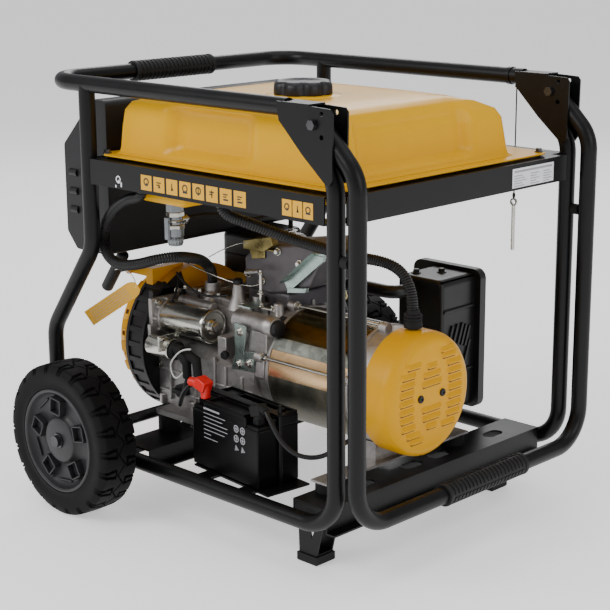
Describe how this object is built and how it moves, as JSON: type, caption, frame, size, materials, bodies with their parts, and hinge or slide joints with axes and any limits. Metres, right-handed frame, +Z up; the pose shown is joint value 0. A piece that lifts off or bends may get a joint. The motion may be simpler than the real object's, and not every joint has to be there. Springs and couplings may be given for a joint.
{
  "type": "portable generator",
  "caption": "Open-frame portable generator on two wheels, with a folding pull handle, tank on top, engine and alternator in line, battery and control box.",
  "frame": {"origin": "centre of the object's footprint, at the floor", "axes": "+X along the crankshaft towards the alternator and the folding handle, +Y from the battery side to the muffler side, +Z up"},
  "size_m": [0.7666, 0.798, 0.757],
  "materials": {
    "frame_paint": "satin black powder coat",
    "grip_rubber": "matt ribbed rubber",
    "mount_rubber": "matt rubber",
    "tyre_rubber": "solid rubber tyre",
    "rim_plastic": "moulded grey plastic",
    "tank_paint": "gloss yellow paint",
    "cap_plastic": "moulded black plastic",
    "housing_plastic": "textured black plastic",
    "panel_plastic": "fine textured black panel",
    "socket_plastic": "blue moulded plastic",
    "meter_glass": "clear window over a scale",
    "cover_yellow": "gloss yellow cover",
    "cast_aluminium": "sand cast",
    "zinc_steel": "zinc plated",
    "galvanised_sheet": "passivated zinc sheet",
    "shaft_steel": "machined steel",
    "lamination_steel": "varnished laminations",
    "heat_paint": "heat resistant black",
    "battery_case": "moulded black plastic",
    "cable_sheath": "black sheath",
    "conduit_plastic": "corrugated black plastic",
    "hose_rubber": "fuel hose",
    "brass_fitting": "plated fitting",
    "cord_fibre": "braided cord"
  },
  "bodies": {
    "frame": {"front_side_frame": "frame_paint", "rear_side_frame": "frame_paint", "top_rail": "frame_paint", "top_rail_grip": "grip_rubber", "cross_channels": "frame_paint", "frame_brackets": "frame_paint", "foot_pads": "mount_rubber", "pivot_brackets": "frame_paint", "front_apron": "frame_paint", "rear_apron": "frame_paint", "end_aprons": "frame_paint", "wheel_axle": "shaft_steel", "frame_fasteners": "zinc_steel", "fuel_tank": "tank_paint", "fuel_valve": "zinc_steel", "fuel_hose": "hose_rubber", "control_box": "housing_plastic", "control_panel": "panel_plastic", "panel_fittings": "socket_plastic", "voltmeter": "meter_glass", "earth_stud": "brass_fitting", "crankcase": "cast_aluminium", "cylinder": "cast_aluminium", "rocker_cover": "zinc_steel", "fan_housing": "cover_yellow", "recoil_cover": "cover_yellow", "starter_motor": "zinc_steel", "carburettor": "cast_aluminium", "air_filter": "housing_plastic", "muffler": "heat_paint", "engine_fittings": "housing_plastic", "stator_cover": "galvanised_sheet", "stator_core": "lamination_steel", "end_bell": "cast_aluminium", "alternator_cover": "cover_yellow", "rubber_mounts": "mount_rubber", "battery": "battery_case", "battery_tray": "frame_paint", "battery_cables": "cable_sheath", "wiring_conduits": "conduit_plastic", "lanyard": "cord_fibre", "lock_pin": "zinc_steel"},
    "handle": {"handle_tube": "frame_paint", "handle_grip": "grip_rubber"},
    "front_wheel": {"front_tyre": "tyre_rubber", "front_rim": "rim_plastic"},
    "rear_wheel": {"rear_tyre": "tyre_rubber", "rear_rim": "rim_plastic"},
    "tank_cap": {"fuel_cap": "cap_plastic"},
    "valve_lever": {"fuel_valve_lever": "zinc_steel"},
    "front_lid": {"outlet_lid_front": "socket_plastic"},
    "rear_lid": {"outlet_lid_rear": "socket_plastic"},
    "breaker": {"breaker_switch": "housing_plastic"},
    "key": {"ignition_key": "shaft_steel"},
    "pull_handle": {"recoil_handle": "housing_plastic"},
    "piston_body": {"piston": "cast_aluminium"},
    "crank": {"crankshaft": "shaft_steel", "flywheel": "cast_aluminium", "rotor": "lamination_steel"},
    "choke": {"choke_lever": "zinc_steel"}
  },
  "joints": [
    {"name": "handle_fold", "type": "hinge", "parent": "frame", "child": "handle", "pos_m": [0.2923, 0, 0.719], "axis": [0, -1, 0], "range_deg": [0, 90]},
    {"name": "front_wheel_spin", "type": "hinge", "parent": "frame", "child": "front_wheel", "pos_m": [-0.2407, -0.3575, 0.134], "axis": [0, 1, 0], "continuous": true},
    {"name": "rear_wheel_spin", "type": "hinge", "parent": "frame", "child": "rear_wheel", "pos_m": [-0.2407, 0.3575, 0.134], "axis": [0, 1, 0], "continuous": true},
    {"name": "fuel_cap_turn", "type": "hinge", "parent": "frame", "child": "tank_cap", "pos_m": [0.069, -0.098, 0.74], "axis": [0, 0, 1], "range_deg": [0, 90]},
    {"name": "fuel_valve_turn", "type": "hinge", "parent": "frame", "child": "valve_lever", "pos_m": [-0.1165, -0.235, 0.512], "axis": [0, 1, 0], "range_deg": [0, 90]},
    {"name": "front_lid_lift", "type": "hinge", "parent": "frame", "child": "front_lid", "pos_m": [-0.3782, -0.15, 0.549], "axis": [0, 1, 0], "range_deg": [0, 110]},
    {"name": "rear_lid_lift", "type": "hinge", "parent": "frame", "child": "rear_lid", "pos_m": [-0.3782, -0.07, 0.549], "axis": [0, 1, 0], "range_deg": [0, 110]},
    {"name": "breaker_rock", "type": "hinge", "parent": "frame", "child": "breaker", "pos_m": [-0.3705, 0.07, 0.59], "axis": [0, 1, 0], "range_deg": [-15, 15]},
    {"name": "key_turn", "type": "hinge", "parent": "frame", "child": "key", "pos_m": [-0.365, 0.13, 0.59], "axis": [1, 0, 0], "range_deg": [0, 75]},
    {"name": "starter_pull", "type": "slide", "parent": "frame", "child": "pull_handle", "axis": [0, -1, 0], "range_m": [0, 0.3], "stiffness_N_per_m": 10},
    {"name": "piston_slide", "type": "slide", "parent": "frame", "child": "piston_body", "axis": [0, 0.9063, 0.4226], "range_m": [-0.028, 0.028]},
    {"name": "crank_spin", "type": "hinge", "parent": "frame", "child": "crank", "pos_m": [0, -0.044, 0.253], "axis": [1, 0, 0], "continuous": true},
    {"name": "choke_turn", "type": "hinge", "parent": "frame", "child": "choke", "pos_m": [-0.144, 0.096, 0.44], "axis": [0, 0, 1], "range_deg": [-45, 0]}
  ]
}
